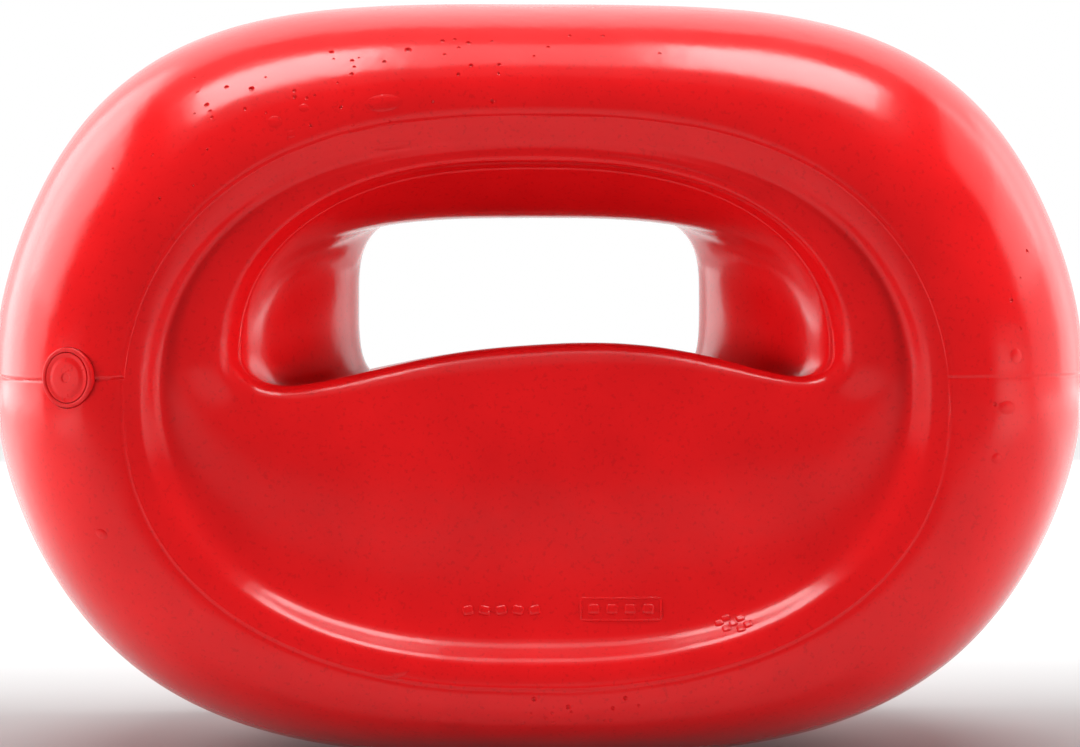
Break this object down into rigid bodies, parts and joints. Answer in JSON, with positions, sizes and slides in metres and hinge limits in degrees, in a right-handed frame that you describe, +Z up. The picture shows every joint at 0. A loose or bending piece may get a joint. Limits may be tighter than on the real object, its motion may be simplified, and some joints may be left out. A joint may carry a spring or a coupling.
{
  "type": "medicine ball",
  "caption": "Oval soft-skinned medicine ball with one hand hole through its upper half, weighted by loose ballast and closed by a filler plug.",
  "frame": {"origin": "middle of the flattened foot that the ball stands on", "axes": "+Z up, +X to the right along the long side, front face towards -Y; the hand hole runs along Y"},
  "size_m": [0.286, 0.1365, 0.196],
  "materials": {
    "skin": "glossy moulded soft PVC",
    "ballast": "loose dry sand",
    "plug": "glossy PVC with a worn face",
    "seat": "satin soft PVC"
  },
  "bodies": {
    "ball": {"body_shell": "skin", "ballast_fill": "ballast", "plug_seat": "seat"},
    "plug": {"filler_plug": "plug"}
  },
  "joints": [
    {"name": "plug_pull", "type": "slide", "parent": "ball", "child": "plug", "axis": [-0.5, -0.866, 0], "range_m": [0, 0.022]}
  ]
}
